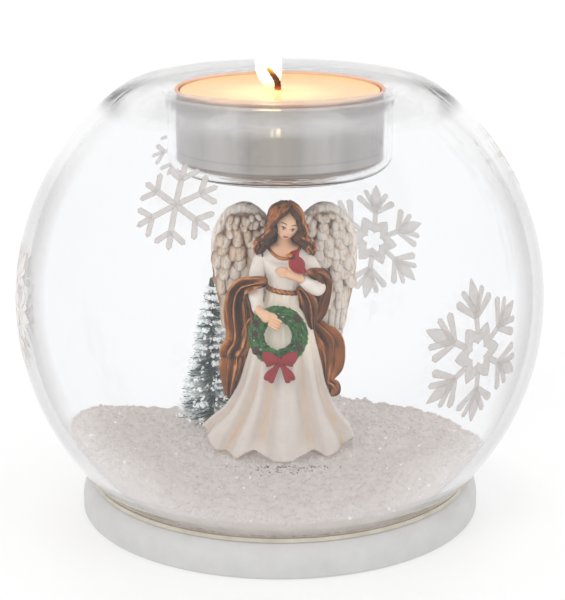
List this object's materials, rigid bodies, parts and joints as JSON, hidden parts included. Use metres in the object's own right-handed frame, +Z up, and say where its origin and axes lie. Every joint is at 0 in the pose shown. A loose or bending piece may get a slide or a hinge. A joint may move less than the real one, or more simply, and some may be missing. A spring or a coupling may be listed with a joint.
{
  "type": "glass globe tealight holder with angel figurine and bottle-brush tree",
  "caption": "Clear glass globe on a white foot: a tealight sits in a well in its top, over an angel figurine and a bottle-brush tree on snow.",
  "frame": {"origin": "middle of the foot's underside", "axes": "+Z up along the globe's axis; the front, which the angel faces, is -Y"},
  "size_m": [0.0998, 0.0998, 0.0852],
  "materials": {
    "foot_white": "smooth matt white paint",
    "clear_glass": "clear blown glass, glossy",
    "snow": "loose sparkling granules",
    "angel_ivory": "cast resin, satin ivory paint with an ochre wash",
    "tree_green": "dark green fibre with frosted tips",
    "tree_wire": "twisted wire",
    "cup_aluminium": "satin pressed aluminium",
    "wax": "paraffin wax, glowing when lit",
    "tab_tin": "tinplate",
    "wick": "charred cotton cord",
    "print_white": "thin matt white print on the glass",
    "angel_skin": "satin paint",
    "angel_hair": "satin paint with copper highlights",
    "angel_wings": "ivory paint with a brown wash in the feathers",
    "stole_bronze": "metallic bronze paint",
    "wreath_green": "satin green paint",
    "cone_brown": "satin brown paint",
    "bow_red": "satin red paint",
    "bird_red": "gloss red paint",
    "flame": "burning flame"
  },
  "bodies": {
    "root": {"foot": "foot_white", "glass_globe": "clear_glass", "snow_bed": "snow", "angel_figurine": "angel_ivory", "tree_bristles": "tree_green", "tree_wire": "tree_wire", "tealight_cup": "cup_aluminium", "tealight_wax": "wax", "wick_tab": "tab_tin", "tealight_wick": "wick"}
  },
  "joints": []
}
